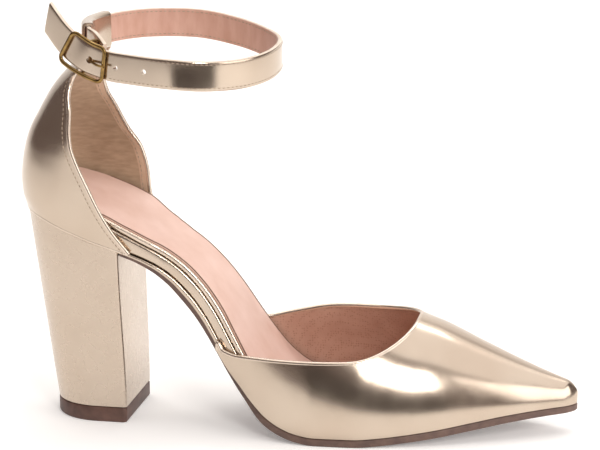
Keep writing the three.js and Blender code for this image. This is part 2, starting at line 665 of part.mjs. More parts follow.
// Prong: a thin rod whose eye turns on the bar.
function buckleProng() {
  const eye = eyeReach - eyeWire;
  const eyePath = steps(14).slice(1).map((t) => besideStrap(buckleAt + eye * Math.cos(2 * Math.PI * t), 0,
    eye * Math.sin(2 * Math.PI * t) - barIn));
  const rest = endBarOut + frameWire + clearance + prongWire;
  const shankPath = prongTable.map(({ ahead, out }) => besideStrap(buckleAt + ahead * frameLength / 2, 0,
    out * rest));
  const ring = rod(eyePath, eyeWire, buckle.up, true);
  const shank = rod(shankPath, prongWire, buckle.up);
  return fromManifold(toManifold(ring).add(toManifold(shank)));
}

const finishes = {
  goldLeather: { color: 0xd9c7ae, roughness: 0.22, metalness: 0.9 },
  brownSole: { color: 0x5d4840, roughness: 0.6, metalness: 0 },
  pinkSock: { color: 0xe8c4b2, roughness: 0.7, metalness: 0 },
  brass: { color: 0xa58a52, roughness: 0.25, metalness: 1 },
};

const pieces = [
  ["outsole", outsole(), "brownSole"],
  ["insole_board", layer(clearance, boardHigh, lastTip - boardShort), "goldLeather"],
  ["sock", layer(sockLow, sockLow + sockThickness, lastTip - sockShort), "pinkSock"],
  ["vamp", vamp(), "goldLeather"],
  ["counter", counter(), "goldLeather"],
  ["heel", heel(), "goldLeather"],
  ["heel_lift", heelLift(), "brownSole"],
  ["ankle_strap", ankleStrap(), "goldLeather"],
  ["strap_sleeve", strapSleeve(), "goldLeather"],
  ["buckle_frame", buckleFrame(), "brass"],
  ["buckle_prong", buckleProng(), "brass"],
];

const shoe = new THREE.Group();
for (const [name, geometry, finish] of pieces) {
  const mesh = new THREE.Mesh(geometry, new THREE.MeshStandardMaterial(finishes[finish]));
  mesh.name = name;
  shoe.add(mesh);
}

export default shoe;
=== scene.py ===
# %% [markdown]
# # An ankle strap pump
# A pointed pump with an open waist, a high block heel and a buckled ankle strap. The leather
# carries a champagne foil that is almost a mirror, so smooth surfaces and the lights around the
# shoe matter more here than texture. Every shape below is worked out in millimetres from the
# tables of the last, the form that the shoe is pulled over, and is then stored in metres.

import math

import bmesh
import bpy
import numpy as np
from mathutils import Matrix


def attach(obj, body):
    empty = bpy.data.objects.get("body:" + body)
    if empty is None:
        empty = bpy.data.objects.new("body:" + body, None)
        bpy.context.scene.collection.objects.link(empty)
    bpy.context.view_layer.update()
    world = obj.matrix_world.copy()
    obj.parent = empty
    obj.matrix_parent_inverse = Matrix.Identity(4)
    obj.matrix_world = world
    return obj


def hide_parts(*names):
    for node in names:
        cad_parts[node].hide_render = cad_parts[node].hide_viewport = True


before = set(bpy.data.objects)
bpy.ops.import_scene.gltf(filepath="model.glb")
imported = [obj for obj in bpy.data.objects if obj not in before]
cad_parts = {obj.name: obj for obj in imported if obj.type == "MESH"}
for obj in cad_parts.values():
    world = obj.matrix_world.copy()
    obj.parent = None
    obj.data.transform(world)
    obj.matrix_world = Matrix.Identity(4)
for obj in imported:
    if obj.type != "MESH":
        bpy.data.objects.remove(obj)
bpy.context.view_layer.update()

# %% [markdown]
# ## Tables and smooth curves
# A maker's last is drawn from stations along its length. Between two stations the outline is a
# smooth curve that never swings past them. Cubic pieces whose slope at a station is the harmonic
# mean of its neighbours do just that, so no bump appears that the table doesn't have.

# %% Tables


def table(columns, rows):
    """One array for each named column. The first column is where the row lies."""
    return dict(zip(columns.split(), np.array(rows, float).T))


def follow(rows, column, at):
    """Cubic pieces through a column: the slope at a station is the harmonic mean of the slopes
    beside it, and zero where they differ in sign."""
    place, value = list(rows.values())[0], rows[column]
    at = np.clip(at, place[0], place[-1])
    span = np.diff(place)
    slope = np.diff(value) / span
    before, after = slope[:-1], slope[1:]
    agree = before * after > 0
    middle = np.where(agree, 2 * before * after / np.where(agree, before + after, 1), 0)
    tangent = np.concatenate([slope[:1], middle, slope[-1:]])
    i = np.clip(np.searchsorted(place, at, side="right") - 1, 0, len(span) - 1)
    t = (at - place[i]) / span[i]
    return ((1 + 2 * t) * (1 - t) ** 2 * value[i] + t * (1 - t) ** 2 * span[i] * tangent[i]
            + t * t * (3 - 2 * t) * value[i + 1] + t * t * (t - 1) * span[i] * tangent[i + 1])


def mix(a, b, t):
    """a at 0, b at 1, and a straight line between."""
    return a + (b - a) * t


def smooth(t):
    """0 below 0, 1 above 1, and 3t² - 2t³ between."""
    t = np.clip(t, 0, 1)
    return t * t * (3 - 2 * t)


LAST = table("along rise spring seat lateral medial swing sole vault", [
    [0, 1, 0, 1, 0, 0, 0, 0.65, 1.4],
    [0.04, 0.973, 0, 1, 0, 0, 0, 0.65, 1.4],
    [0.09, 0.922, 0, 1, 0, 0, 0, 0.65, 1.4],
    [0.13, 0.88, 0, 1, 0, 0, 0, 0.65, 1.4],
    [0.17, 0.845, 0, 0.99, 0, 0, 0, 0.65, 1.4],
    [0.21, 0.81, 0, 0.97, 0, 0, 0, 0.7, 1.4],
    [0.25, 0.763, 0, 0.94, 0, 0, 0, 0.95, 1.4],
    [0.28, 0.709, 0, 0.92, 0, 0, 0, 1.15, 1.4],
    [0.31, 0.631, 0, 0.92, 0, 0, 0, 1.3, 1.4],
    [0.34, 0.528, 0, 0.75, 0.13, 0.13, 0, 1.25, 1.4],
    [0.37, 0.395, 0, 0.5, 0.34, 0.33, 0, 1.1, 1.4],
    [0.4, 0.265, 0, 0.25, 0.57, 0.56, 0, 1.03, 1.6],
    [0.43, 0.158, 0, 0.1, 0.74, 0.735, 0, 1, 1.73],
    [0.46, 0.082, 0, 0, 0.87, 0.87, 0, 1, 1.8],
    [0.49, 0.035, 0, 0, 0.922, 0.933, 0, 1, 1.78],
    [0.52, 0.01, 0, 0, 0.956, 0.98, 0, 1, 1.72],
    [0.55, 0, 0, 0, 0.97, 1.01, 0, 1, 1.63],
    [0.62, 0, 0, 0, 0.947, 1.02, 0, 1, 1.35],
    [0.66, 0, 0.06, 0, 0.897, 0.975, 0.01, 1, 1.18],
    [0.71, 0, 0.19, 0, 0.815, 0.886, 0.04, 1, 1],
    [0.76, 0, 0.35, 0, 0.717, 0.77, 0.12, 1, 0.86],
    [0.82, 0, 0.585, 0, 0.572, 0.603, 0.28, 1, 0.65],
    [0.88, 0, 0.8, 0, 0.417, 0.431, 0.5, 0.97, 0.447],
    [0.94, 0, 0.93, 0, 0.244, 0.25, 0.76, 0.93, 0.274],
    [1, 0, 1, 0, 0.061, 0.061, 1, 0.9, 0.132]])
TOPLINE = table("along lateral medial", [
    [0.36, 1.14, 1.13], [0.38, 1.04, 1.06], [0.41, 1, 1.06], [0.46, 1, 1.12], [0.54, 1, 1.22],
    [0.62, 1, 1.25], [0.7, 1, 1.25]])
CUP = table("up back lateral medial width round", [
    [0, 1, 0.72, 0.82, 1, 1],
    [0.09, 1.06, 0.47, 0.7, 1.052, 1],
    [0.19, 1.075, 0.275, 0.61, 1.078, 1],
    [0.3, 1.053, 0.11, 0.575, 1.086, 1],
    [0.42, 0.997, -0.06, 0.475, 1.082, 1],
    [0.52, 0.92, -0.155, 0.255, 1.073, 1],
    [0.63, 0.79, -0.18, 0.08, 1.056, 0.98],
    [0.72, 0.675, -0.175, -0.06, 1.047, 0.95],
    [0.8, 0.56, -0.2, -0.1, 1.052, 0.93],
    [0.9, 0.367, -0.17, -0.08, 1.065, 0.91],
    [1, 0.093, 0.06, 0.06, 1.078, 0.91]])
PAD = table("along lateral medial", [
    [0, 0.62, 0.9], [0.06, 0.66, 0.96], [0.13, 0.6, 1], [0.18, 0.3, 0.82], [0.22, 0.08, 0.28], [0.26, 0, 0]])
ROUTE = table("turn reach rise", [
    [18.5, 1.43, 0.86], [31, 1.25, -0.03], [41, 1.115, -0.45], [55, 1.03, -0.65], [70, 1, -0.69],
    [90, 1, -0.75], [112, 1, -0.84], [137, 1, -0.85], [160, 1, -0.76], [180, 1, -0.64],
    [202, 1, -0.58], [223, 1, -0.5], [246, 1, -0.32], [272, 1, -0.12], [303, 1, -0.06],
    [330, 1, -0.08], [360, 1, -0.1], [386, 1, -0.1], [394, 0.985, -0.16], [402, 0.97, -0.42]])
print("stations of the last:", len(LAST["along"]), " of the heel cup:", len(CUP["up"]))

# %% [markdown]
# ## The last
# The insole's outline gives the width, and a soft pointed arch over it gives the height, so the
# forepart has a gentle ridge from the throat to the toe. Leather of even thickness lies outside
# it: an offset moves each point straight out from the outline.

# %% The last
SEAT_BACK = 27            # the seat's back lies this far behind the heel's centre
LAST_LENGTH = 230
TIP = LAST_LENGTH - SEAT_BACK - 1.6     # rounding takes 1.6 mm off the toe's point
GAP, WALL = 0.3, 1.8      # between pieces that touch, and the leather with its lining
SKIN = GAP + WALL
SEAT_WIDTH, BALL_WIDTH, TOE_SWING = 46.4, 72, 4
SOLE_EDGE, NOSE, SEAT_ROUND = 3.2, 4, 22
HEEL_RISE, TOE_SPRING, VAULT_HEIGHT, SEAT_PAD = 86, 9.4, 41.6, 7


def read(column, x):
    return follow(LAST, column, (np.asarray(x, float) + SEAT_BACK) / LAST_LENGTH)


def last_line(x):
    """Height of the last's underside: the heel's rise behind, the toe's spring in front."""
    return SOLE_EDGE + read("rise", x) * HEEL_RISE + read("spring", x) * TOE_SPRING


def last_slope(x):
    """Rise of the underside for each millimetre towards the toe."""
    return (last_line(x + 0.05) - last_line(x - 0.05)) / 0.1


def round_end(distance, radius):
    """A quarter circle: 0 at the end and 1 one radius in from it."""
    return np.sqrt(1 - (1 - np.clip(distance / radius, 0, 1)) ** 2)


def outline(side, x):
    """Half width of the insole on one side, rounded off at the seat and at the tip."""
    ball = read("lateral" if side < 0 else "medial", x) * BALL_WIDTH / 2
    body = read("seat", x) * SEAT_WIDTH / 2 + ball
    return body * round_end(x + SEAT_BACK, SEAT_ROUND) * round_end(TIP - x, NOSE)


def outline_point(side, x, offset):
    """The outline moved out by an offset, square to its own direction in the plan."""
    x = np.asarray(x, float)
    axis = read("swing", x) * TOE_SWING
    step = np.clip((TIP - x) / 2, 1e-6, 0.05)
    rise = (read("swing", x + step) - read("swing", x - step)) * TOE_SWING
    rise = rise + side * (outline(side, x + step) - outline(side, x - step))
    size = np.hypot(2 * step, rise)
    tip = TIP - x < 1e-6
    across = axis + side * outline(side, x) + side * 2 * step / size * offset
    return np.where(tip, x + offset, x - side * rise / size * offset), np.where(tip, axis, across)


def arch_out(angle):
    """Cosine to the power 2 over 2.1, and a little bulge above the edge."""
    return np.maximum(np.cos(angle), 0) ** (2 / 2.1) + 0.05 * np.sin(2 * angle) * np.cos(angle) ** 2


def arch_up(angle):
    """Sine to the power 2 over 1.7."""
    return np.sin(angle) ** (2 / 1.7)


def arch_angle(up):
    return np.arcsin(np.clip(up, 0, 1) ** (1.7 / 2))


def vault(x):
    """Height of the last over the insole."""
    return read("vault", x) * VAULT_HEIGHT * mix(0.3, 1, round_end(TIP - x, NOSE))


print("last's underside at the seat, ball and tip:", last_line([-SEAT_BACK, 108, TIP]).round(1))

# %% [markdown]
# ## From arrays to pieces
# A shape is a grid of points from two parameters. Neighbours in the grid make the faces, doubles
# are merged so that the shading runs on over a join, and edges sharper than an angle stay crisp.

# %% Making a piece


def cells(grid):
    """Faces between the neighbours in a grid of point numbers."""
    return np.stack([grid[:-1, :-1], grid[:-1, 1:], grid[1:, 1:], grid[1:, :-1]], -1).reshape(-1, 4)


def strip(a, b):
    """Faces between two lines of point numbers."""
    return np.stack([a[:-1], a[1:], b[1:], b[:-1]], -1)


def make(name, points, faces, finishes, node, which=None, marks=None, sharp=38):
    """Stores points (mm) and faces as a closed mesh in metres that stands for a CAD node."""
    mesh = bpy.data.meshes.new(name)
    mesh.from_pydata((np.reshape(points, (-1, 3)) / 1000).tolist(), [], [list(f) for f in faces])
    for finish in finishes:
        mesh.materials.append(finish)
    if which is not None:
        mesh.polygons.foreach_set("material_index", np.asarray(which, np.int32))
    for mark, values in (marks or {}).items():
        mesh.attributes.new(mark, "FLOAT", "POINT").data.foreach_set("value", np.ravel(values))
    work = bmesh.new()
    work.from_mesh(mesh)
    bmesh.ops.remove_doubles(work, verts=work.verts, dist=1.5e-5)
    if work.calc_volume(signed=True) < 0:
        bmesh.ops.reverse_faces(work, faces=work.faces)
    work.to_mesh(mesh)
    work.free()
    mesh.polygons.foreach_set("use_smooth", np.ones(len(mesh.polygons), bool))
    mesh.set_sharp_from_angle(angle=math.radians(sharp))
    piece = bpy.data.objects.new(name, mesh)
    bpy.context.scene.collection.objects.link(piece)
    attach(piece, "root")
    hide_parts(node)
    print(f"{name}: {len(mesh.polygons)} faces")
    return piece


def sheet(outer, inner, foot=True, top=True, end=True):
    """Two skins of one wall, joined round their border. Gives the points, the faces, and 0 for
    faces of the outer skin, 1 for the inner one and 2 for the border."""
    number = np.arange(outer.shape[0] * outer.shape[1]).reshape(outer.shape[:2])
    out, inn = number, number + number.size
    groups = [(cells(out), 0), (cells(inn)[:, ::-1], 1), (strip(inn[0], out[0]), 2)]
    if foot:
        groups.append((strip(out[:, 0], inn[:, 0]), 2))
    if top is not False:
        last = len(number) if top is True else top + 1
        groups.append((strip(inn[:last, -1], out[:last, -1]), 2))
    if end:
        groups.append((strip(out[-1], inn[-1]), 2))
    points = np.concatenate([outer.reshape(-1, 3), inner.reshape(-1, 3)])
    which = np.concatenate([np.full(len(g), k) for g, k in groups])
    return points, np.concatenate([g for g, _ in groups]), which


def loft(rings, closed=False):
    """Faces through rings of points. Open ends get one face each."""
    count, size = rings.shape[:2]
    number = np.arange(count * size).reshape(count, size)
    number = np.concatenate([number, number[:, :1]], 1)
    if closed:
        return cells(np.concatenate([number, number[:1]])).tolist()
    return cells(number).tolist() + [number[0, :-1].tolist(), number[-1, -2::-1].tolist()]


def unit(v):
    return v / np.linalg.norm(v, axis=-1, keepdims=True)


def tube(path, radius, toward, sides=10, closed=False, flat=1.0):
    """A ring carried along a path: path + radius (cos a · side + flat · sin a · up)."""
    if closed:
        along = unit(np.roll(path, -1, 0) - np.roll(path, 1, 0))
    else:
        along = unit(np.gradient(path, axis=0))
    side = unit(np.cross(along, toward))
    up = np.cross(side, along)
    a = np.linspace(0, 2 * np.pi, sides, endpoint=False)[None, :, None]
    radius = np.broadcast_to(radius, len(path))[:, None, None]
    return path[:, None] + radius * (np.cos(a) * side[:, None] + flat * np.sin(a) * up[:, None])


def even(path, pitch, *others):
    """The path, and arrays that go with it, at even steps of length."""
    length = np.concatenate([[0], np.cumsum(np.linalg.norm(np.diff(path, axis=0), axis=1))])
    at = np.linspace(0, length[-1], max(int(round(length[-1] / pitch)), 2) + 1)
    return [np.stack([np.interp(at, length, p[:, k]) for k in range(3)], 1) for p in (path, *others)]


# %% [markdown]
# ## Finishes
# Colours are given as on a screen and turned to linear light by one function. One small function
# adds a node with its settings and links. Patterns read Object coordinates, in metres, so a
# pattern whose grains are 0.4 mm apart has a scale of 1 / 0.0004.

# %% Colour and nodes


def linear(code):
    """sRGB hex to linear light: ((c + 0.055) / 1.055) to the power 2.4, straight below 0.04."""
    c = np.array([int(code[i:i + 2], 16) for i in (1, 3, 5)]) / 255
    return (*np.where(c <= 0.04045, c / 12.92, ((c + 0.055) / 1.055) ** 2.4), 1.0)


def add(tree, kind, sockets=None, **settings):
    """Adds one node. settings are its choices, sockets are values or links by socket."""
    made = tree.nodes.new(kind)
    for key, value in settings.items():
        setattr(made, key, value)
    for key, value in (sockets or {}).items():
        if isinstance(value, bpy.types.NodeSocket):
            tree.links.new(value, made.inputs[key])
        else:
            made.inputs[key].default_value = value
    return made


def finish_of(name, **sockets):
    """A material with one shader. Returns it, its nodes, the shader and Object coordinates."""
    made = bpy.data.materials.new(name)
    made.use_nodes = True
    tree = made.node_tree
    shader = tree.nodes["Principled BSDF"]
    for key, value in sockets.items():
        shader.inputs[key.replace("_", " ")].default_value = value
    return made, tree, shader, add(tree, "ShaderNodeTexCoord").outputs["Object"]


def blotches(tree, where, size, light, dark, detail=2.0, low=0.3, high=0.7):
    """Soft patches of two colours, of a size in metres."""
    noise = add(tree, "ShaderNodeTexNoise", {"Vector": where, "Scale": 1 / size, "Detail": detail})
    ramp = add(tree, "ShaderNodeValToRGB", {0: noise.outputs["Fac"]})
    for stop, place, colour in zip(ramp.color_ramp.elements, (low, high), (dark, light)):
        stop.position, stop.color = place, linear(colour)
    return ramp.outputs["Color"]


def relief(tree, height, depth, under=None):
    """Bump of a depth in metres, over another bump if there is one."""
    sockets = {"Height": height, "Distance": depth, "Strength": 1.0}
    if under is not None:
        sockets["Normal"] = under
    return add(tree, "ShaderNodeBump", sockets).outputs["Normal"]


# %% [markdown]
# ### Foiled leather
# Metallic leather is split leather under a polyurethane film with a metal foil. The foil is
# nearly a mirror, but the leather under it is not quite flat: reflections wander softly over 15 mm
# and the finest grain, about 0.4 mm, blurs them. The real grain is finer than a pixel here.

# %% Foiled leather


def foil(name, light, dark, roughness, wander, grain):
    made, tree, shader, where = finish_of(name, Metallic=0.97, Coat_Weight=0.1, Coat_Roughness=0.1)
    tree.links.new(blotches(tree, where, 0.03, light, dark), shader.inputs["Base Color"])
    slow = add(tree, "ShaderNodeTexNoise", {"Vector": where, "Scale": 1 / 0.015, "Detail": 1.0})
    fine = add(tree, "ShaderNodeTexNoise", {"Vector": where, "Scale": 1 / 0.0004, "Detail": 2.0})
    rub = add(tree, "ShaderNodeTexNoise", {"Vector": where, "Scale": 1 / 0.006, "Detail": 3.0})
    span = add(tree, "ShaderNodeMapRange", {"Value": rub.outputs["Fac"], "To Min": roughness - 0.04,
                                            "To Max": roughness + 0.05})
    tree.links.new(span.outputs[0], shader.inputs["Roughness"])
    soft = relief(tree, slow.outputs["Fac"], wander)
    tree.links.new(relief(tree, fine.outputs["Fac"], grain, soft), shader.inputs["Normal"])
    return made


foil_leather = foil("foiled_split_leather", "#cbbcab", "#c2b19f", 0.19, 0.00008, 0.000004)
foil_heel = foil("foiled_heel_cover", "#c9baaa", "#c3b3a2", 0.27, 0.00004, 0.000002)
foil_edge = foil("foiled_folded_edge", "#dccdbd", "#cfbfae", 0.25, 0.00004, 0.000003)

# %% [markdown]
# ### Linings
# The heel cup is lined with tan suede, whose nap lies in fine level wrinkles. The forepart has a
# smooth pigskin lining with rows of pores, and the sock and the strap's inside are pale pink
# sheep leather, matt, with a faint grain.

# %% Linings


def lining(name, light, dark, patch, bump, roughness, stretch=(1, 1, 1), sheen=0.15):
    made, tree, shader, where = finish_of(name, Roughness=roughness, Sheen_Weight=sheen,
                                          Sheen_Roughness=0.5)
    turned = add(tree, "ShaderNodeMapping", {"Vector": where, "Scale": stretch}).outputs["Vector"]
    tree.links.new(blotches(tree, turned, patch, light, dark, 4.0), shader.inputs["Base Color"])
    nap = add(tree, "ShaderNodeTexNoise", {"Vector": turned, "Scale": 1 / patch, "Detail": 5.0})
    tree.links.new(relief(tree, nap.outputs["Fac"], bump), shader.inputs["Normal"])
    return made


pale_pink = lining("pale_pink_sheep_leather", "#e0beb0", "#d6b09f", 0.012, 0.00008, 0.55)
strap_pink = lining("strap_lining_leather", "#cfa594", "#c0937f", 0.004, 0.00015, 0.6, (1, 1, 0.3))

pores, tree, shader, where = finish_of("pigskin_lining", Roughness=0.6, Sheen_Weight=0.1)
dots = add(tree, "ShaderNodeTexVoronoi", {"Vector": where, "Scale": 1 / 0.0011, "Randomness": 0.45})
hollow = add(tree, "ShaderNodeMapRange", {"Value": dots.outputs["Distance"], "From Min": 0.12,
                                          "From Max": 0.38})
skin_tone = blotches(tree, where, 0.012, "#c79f8b", "#ba907c")
pored = add(tree, "ShaderNodeMix", {"Factor": hollow.outputs[0], 6: linear("#a47a67"),
                                    7: skin_tone}, data_type="RGBA")
tree.links.new(pored.outputs[2], shader.inputs["Base Color"])
tree.links.new(relief(tree, hollow.outputs[0], 0.00008), shader.inputs["Normal"])

# %% [markdown]
# ### Sole, top piece, thread and metal
# The sole is a thin sheet of brown resin rubber with a painted edge. The heel's top piece is
# polyurethane in two layers. The buckle is zinc with an antique gold plate: bright on its rounded
# tops and dark in its reflections.

# %% Sole, top piece, thread and metal


def rubber(name, light, dark, roughness):
    made, tree, shader, where = finish_of(name, Roughness=roughness, Coat_Weight=0.1,
                                          Coat_Roughness=0.3)
    tree.links.new(blotches(tree, where, 0.004, light, dark, 5.0), shader.inputs["Base Color"])
    grit = add(tree, "ShaderNodeTexNoise", {"Vector": where, "Scale": 1 / 0.0005, "Detail": 3.0})
    tree.links.new(relief(tree, grit.outputs["Fac"], 0.00002), shader.inputs["Normal"])
    return made


sole_rubber = rubber("resin_rubber_sole", "#6d5448", "#57413a", 0.5)
top_rubber = rubber("polyurethane_top_piece", "#6a4b40", "#4f372f", 0.55)
edge_paint = rubber("strap_edge_paint", "#eadccb", "#d6c4b0", 0.45)
dark_line = rubber("folded_gap_shade", "#7a5b48", "#664a3a", 0.7)

antique, tree, shader, where = finish_of("antique_gold_plate", Metallic=1.0)
tree.links.new(blotches(tree, where, 0.004, "#a98b57", "#6e5530", 3.0), shader.inputs["Base Color"])
wear = add(tree, "ShaderNodeTexNoise", {"Vector": where, "Scale": 1 / 0.003, "Detail": 4.0})
span = add(tree, "ShaderNodeMapRange", {"Value": wear.outputs["Fac"], "To Min": 0.12,
                                        "To Max": 0.34})
tree.links.new(span.outputs[0], shader.inputs["Roughness"])

thread, tree, shader, where = finish_of("polyester_thread", Roughness=0.6, Sheen_Weight=0.3)
tree.links.new(blotches(tree, where, 0.002, "#b39d86", "#8c7763"), shader.inputs["Base Color"])
print("finishes:", len(bpy.data.materials))

# %% [markdown]
# ## Forepart
# The vamp is lasted over the toe and open from the throat backwards. Each half is a grid: x runs
# from the wing's end to the tip, and across runs from the sole's edge to the topline, or ahead of
# the throat to the ridge, where the halves are merged. A second grid, one wall thickness inside,
# is the lining.

# %% Forepart
THROAT, WING = TIP - 63.4, TIP - 143.9
TOPLINE_HEIGHT, THROAT_ROUND, THROAT_POWER = 33, 28, 2.6


def wall_gap(x):
    """The gap under an upper, measured straight up from the sloping underside."""
    return GAP * np.hypot(1, last_slope(x))


def topline_angle(side, x):
    """Where the topline lies on the arch. Over the last 28 mm it turns up to the ridge like the
    quarter of a superellipse, of power 2.6."""
    column = "lateral" if side < 0 else "medial"
    level = follow(TOPLINE, column, (x + SEAT_BACK) / LAST_LENGTH) * TOPLINE_HEIGHT
    t = np.clip((x - THROAT + THROAT_ROUND) / THROAT_ROUND, 0, 1)
    turned = 1 - (1 - t ** THROAT_POWER) ** (1 / THROAT_POWER)
    return mix(arch_angle((level - last_line(x)) / vault(x)), np.pi / 2, turned)


def vamp_point(side, x, across, offset):
    """Between the sole's edge and the ridge by arch_out, and up by arch_up of the vault's height."""
    angle = across * np.where(x < THROAT, topline_angle(side, x), np.pi / 2)
    foot = outline_point(side, x, offset)
    ahead = (outline_point(-1, x, 1)[0] + outline_point(1, x, 1)[0]) / 2 - x
    out = arch_out(angle)
    tuck = 3.6 * (1 - smooth((x - WING) / 13))
    up = mix(across, arch_up(angle), round_end(TIP - x, NOSE))
    z = last_line(x) + wall_gap(x) + (vault(x) + offset) * up - tuck * (1 - across)
    return np.stack([mix(x + offset * ahead, foot[0], out),
                     mix(read("swing", x) * TOE_SWING, foot[1], out), z], -1)


open_x = mix(WING, THROAT, (1 - np.cos(np.pi * np.linspace(0, 1, 70))) / 2)
closed_x = mix(THROAT, TIP, np.sin(np.pi / 2 * np.linspace(0, 1, 56)[1:]))
vamp_x = np.concatenate([open_x, closed_x])[:, None]
across = np.linspace(0, 1, 30)[None]
skins = {side: [vamp_point(side, vamp_x, across, offset) for offset in (SKIN, GAP)]
         for side in (-1, 1)}
near, far = [sheet(*skins[side], top=len(open_x) - 1, end=False) for side in (-1, 1)]
faces = np.concatenate([near[1], far[1][:, ::-1] + len(near[0])])
make("vamp_upper", np.concatenate([near[0], far[0]]), faces, [foil_leather, pores, foil_edge],
     "vamp", np.concatenate([near[2], far[2]]))

# %% [markdown]
# The topline's leather is folded over and glued, which makes a soft round edge. A ring is carried
# along the middle of the wall, from one wing's end round the throat to the other.

# %% Folded topline


def wall_path(outer, inner, pick):
    """The middle of the wall along a border, and the direction out through the wall."""
    return (pick(outer) + pick(inner)) / 2, unit(pick(outer) - pick(inner))


rows = len(open_x)
near_edge = wall_path(*skins[-1], lambda g: np.concatenate([g[0, :-1], g[:rows, -1]]))
far_edge = wall_path(*skins[1], lambda g: np.concatenate([g[0, :-1], g[:rows, -1]]))
path, toward = [np.concatenate([a, b[-2::-1]]) for a, b in zip(near_edge, far_edge)]
path, toward = even(path, 0.9, toward)
rings = tube(path, 1.02, toward, 12)
make("vamp_folded_edge", rings, loft(rings), [foil_edge], "vamp")

# %% [markdown]
# ## Heel cup and tab
# The counter is one curved wall from one front edge round the back to the other, narrowing
# upwards into the tab. Its grid runs round the heel and up. A mark on each point holds how far it
# lies from the front edge in millimetres, so the lining can show the stitched strip along it.

# %% Heel cup
TAB_TOP = 152.9


def cup_point(around, up, offset):
    """around runs from -1 at the outer front edge to 1 at the inner one: x goes with its square,
    and the half width rounds off towards the back."""
    def cup(column):
        return follow(CUP, column, up)
    back = -cup("back") * SEAT_BACK
    front = np.where(around < 0, cup("lateral"), cup("medial")) * SEAT_BACK
    x = mix(back - offset, front, around ** 2)
    seat = read("seat", x) * SEAT_WIDTH / 2
    half = (seat * cup("width") + offset) * round_end(x - back + offset, cup("round") * SEAT_ROUND + offset)
    return np.stack([x, np.sign(around) * half, mix(last_line(x) + wall_gap(x), TAB_TOP, up)], -1)


up = np.linspace(0, 1, 72)[:, None]
around = np.linspace(-1, 1, 121)[None]
cup_skins = [cup_point(around, up, offset) for offset in (SKIN, GAP)]
run = np.linalg.norm(np.diff(cup_skins[1], axis=1), axis=2)
from_near = np.concatenate([np.zeros((len(up), 1)), np.cumsum(run, 1)], 1)
edge = np.minimum(from_near, from_near[:, -1:] - from_near)

cup_lining, tree, shader, where = finish_of("suede_with_edge_strip", Roughness=0.85, Sheen_Weight=0.2)
mark = add(tree, "ShaderNodeAttribute", attribute_name="edge").outputs["Fac"]
level = add(tree, "ShaderNodeMapping", {"Vector": where, "Scale": (0.25, 0.25, 1)}).outputs["Vector"]
nap = add(tree, "ShaderNodeTexNoise", {"Vector": level, "Scale": 1 / 0.0011, "Detail": 5.0})
past = add(tree, "ShaderNodeMath", {0: mark, 1: 3.6}, operation="LESS_THAN").outputs[0]
suede = blotches(tree, level, 0.0012, "#b3977d", "#a0856c", 4.0)
edge_strip = blotches(tree, where, 0.006, "#c9ab92", "#bb9c83")
tone = add(tree, "ShaderNodeMix", {"Factor": past, 6: suede, 7: edge_strip}, data_type="RGBA")
tree.links.new(tone.outputs[2], shader.inputs["Base Color"])
tree.links.new(relief(tree, nap.outputs["Fac"], 0.00014), shader.inputs["Normal"])

points, faces, which = sheet(*cup_skins)
make("counter_upper", points, faces, [foil_leather, cup_lining, foil_edge], "counter",
     which, {"edge": np.concatenate([edge.ravel(), edge.ravel()])})

# %% Folded edges of the heel cup
for name, pick in (("counter_outer_fold", lambda g: g[:, 0]), ("counter_inner_fold", lambda g: g[:, -1]),
                   ("counter_foot_fold", lambda g: g[0])):
    path, toward = wall_path(*cup_skins, pick)
    path, toward = even(path, 0.9, toward)
    rings = tube(path, 1.0, toward, 12)
    make(name, rings, loft(rings), [foil_edge], "counter")

# %% [markdown]
# ## Sole, board and sock
# The waist is open, so the layers under the foot show as stripes: the brown sole, the board in
# its foiled cover, the sock's foiled rand and the pink sock with a fine brown line along its edge.
# A layer is a rounded profile on each side of the shoe, carried along the last's underside. At the
# waist the board's cover laps over the upper half of the sole's edge, so only a thin brown line
# is left under it.

# %% Sole


def side_profile(low, high, radius):
    """How far in from the edge and how high, from the bottom round the side to the top."""
    a = np.linspace(0, np.pi / 2, 6)
    inset = np.concatenate([radius * (1 - np.sin(a)), radius * (1 - np.cos(a))])
    return inset, np.concatenate([low + radius * (1 - np.cos(a)), high - radius * (1 - np.sin(a))])


def toe_steps(start, end):
    """Even steps that crowd together over the last 12 mm, towards the rounded end."""
    crowded = mix(end - 12, end, np.sin(np.linspace(0, np.pi / 2, 24)))
    return np.concatenate([np.linspace(start, end - 12, 120)[:-1], crowded])


def sole_rings(x, share, grow):
    """Rings of a sheet under the last: share is how much of the sole's depth it takes, from the
    top down, and grow how far it stands out from the sole's edge."""
    slope = last_slope(x)
    lean = np.stack([-slope, np.ones_like(slope)]) / np.hypot(1, slope)
    flare = SKIN * smooth((x - WING - 13) / 10) + grow
    deep = read("sole", x) * SOLE_EDGE
    inset, height = [a[None] for a in side_profile(-share, 0.0, 0.2)]
    halves = []
    for side in (-1, 1):
        along = np.minimum(x + height * deep * lean[0], TIP)
        px, py = outline_point(side, along, flare - inset * deep)
        halves.append(np.stack([px, py, last_line(x) + height * deep * lean[1]], -1))
    return np.concatenate([halves[0], halves[1][:, ::-1]], 1)


rings = sole_rings(toe_steps(15.9, TIP)[:, None], 1.0, 0.0)
make("outsole_sheet", rings, loft(rings), [sole_rubber], "outsole")
rings = sole_rings(np.linspace(15.9, WING + 4, 90)[:, None], 0.55, 0.25)
make("waist_cover", rings, loft(rings), [foil_leather], "outsole")

# %% Layers over the board
BOARD_HIGH = 5.0


def last_half(side, x, z):
    """Half width of the last at a height."""
    up_there = np.clip((z - last_line(x)) / vault(x), 0, 1)
    return outline(side, x) * arch_out(arch_angle(up_there))


